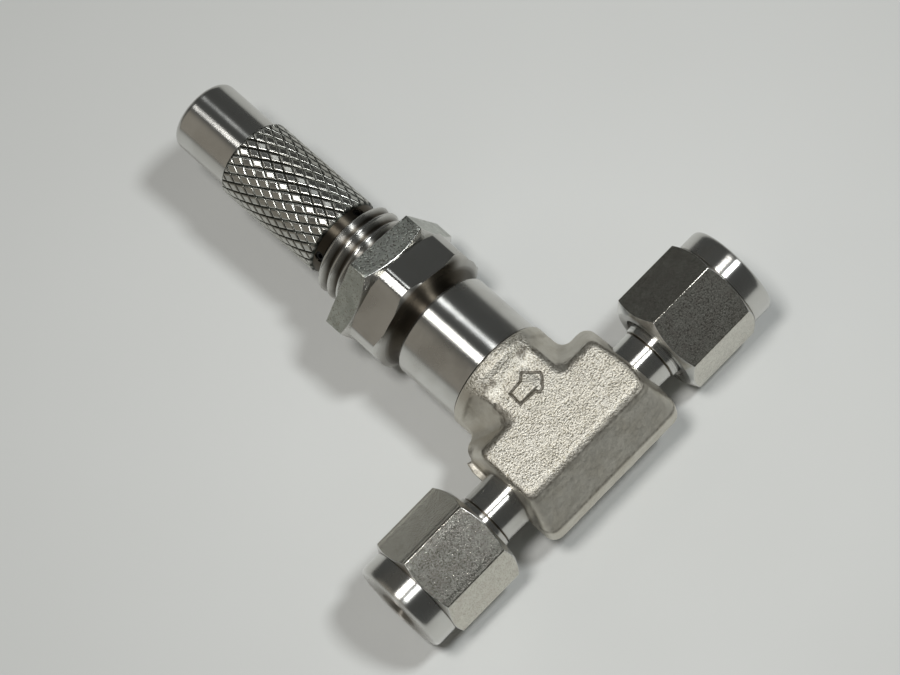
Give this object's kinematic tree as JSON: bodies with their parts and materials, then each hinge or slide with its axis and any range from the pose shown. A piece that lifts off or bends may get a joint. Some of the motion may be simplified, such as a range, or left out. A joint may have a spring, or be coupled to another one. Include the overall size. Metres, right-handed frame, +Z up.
{
  "type": "needle metering valve",
  "caption": "Inline needle metering valve with forged tee body, knurled handle, panel nut and compression ends for small tube.",
  "frame": {"origin": "underside pad of the forging, straight below the crossing of the run and the stem", "axes": "+X along the run from inlet to outlet, +Y along the stem towards the handle, +Z up, across both"},
  "size_m": [0.0506, 0.063, 0.0156],
  "materials": {
    "forged_steel": "blasted, fine bright grain",
    "turned_steel": "bright turned",
    "nut_steel": "satin flats, bright turned ends",
    "seal_rubber": "matt",
    "gasket_plastic": "matt white"
  },
  "bodies": {
    "body": {"body": "forged_steel", "bonnet": "turned_steel", "bonnet_gasket": "gasket_plastic", "gland_bush": "turned_steel", "lower_backup_ring": "gasket_plastic", "stem_o_ring": "seal_rubber", "upper_backup_ring": "gasket_plastic"},
    "needle": {"needle": "turned_steel"},
    "stem_and_handle": {"stem": "turned_steel", "needle_retainer": "turned_steel", "handle": "turned_steel", "handle_set_screw_front": "turned_steel", "handle_set_screw_rear": "turned_steel"},
    "panel_nut": {"panel_nut": "nut_steel"},
    "inlet_ferrules": {"inlet_front_ferrule": "turned_steel", "inlet_back_ferrule": "turned_steel"},
    "inlet_nut": {"inlet_nut": "nut_steel"},
    "outlet_ferrules": {"outlet_front_ferrule": "turned_steel", "outlet_back_ferrule": "turned_steel"},
    "outlet_nut": {"outlet_nut": "nut_steel"}
  },
  "joints": [
    {"name": "stem_lift", "type": "slide", "parent": "body", "child": "needle", "axis": [0, 1, 0], "range_m": [0, 0.0032]},
    {"name": "handle_turn", "type": "hinge", "parent": "needle", "child": "stem_and_handle", "pos_m": [0, 0, 0.0053], "axis": [0, 1, 0], "range_deg": [0, 3600]},
    {"name": "panel_nut_travel", "type": "slide", "parent": "body", "child": "panel_nut", "axis": [0, 1, 0], "range_m": [0, 0.0042]},
    {"name": "inlet_nut_travel", "type": "slide", "parent": "body", "child": "inlet_ferrules", "axis": [-1, 0, 0], "range_m": [0, 0.00385]},
    {"name": "inlet_nut_turn", "type": "hinge", "parent": "inlet_ferrules", "child": "inlet_nut", "pos_m": [0, 0, 0.0053], "axis": [-1, 0, 0], "range_deg": [0, 1080]},
    {"name": "outlet_nut_travel", "type": "slide", "parent": "body", "child": "outlet_ferrules", "axis": [1, 0, 0], "range_m": [0, 0.00385]},
    {"name": "outlet_nut_turn", "type": "hinge", "parent": "outlet_ferrules", "child": "outlet_nut", "pos_m": [0, 0, 0.0053], "axis": [1, 0, 0], "range_deg": [0, 1080]}
  ],
  "couplings": [
    {"joint": "stem_lift", "follows": "handle_turn", "m_per_rad": 0.000050532},
    {"joint": "inlet_nut_travel", "follows": "inlet_nut_turn", "m_per_rad": 0.00020213},
    {"joint": "outlet_nut_travel", "follows": "outlet_nut_turn", "m_per_rad": 0.00020213}
  ]
}
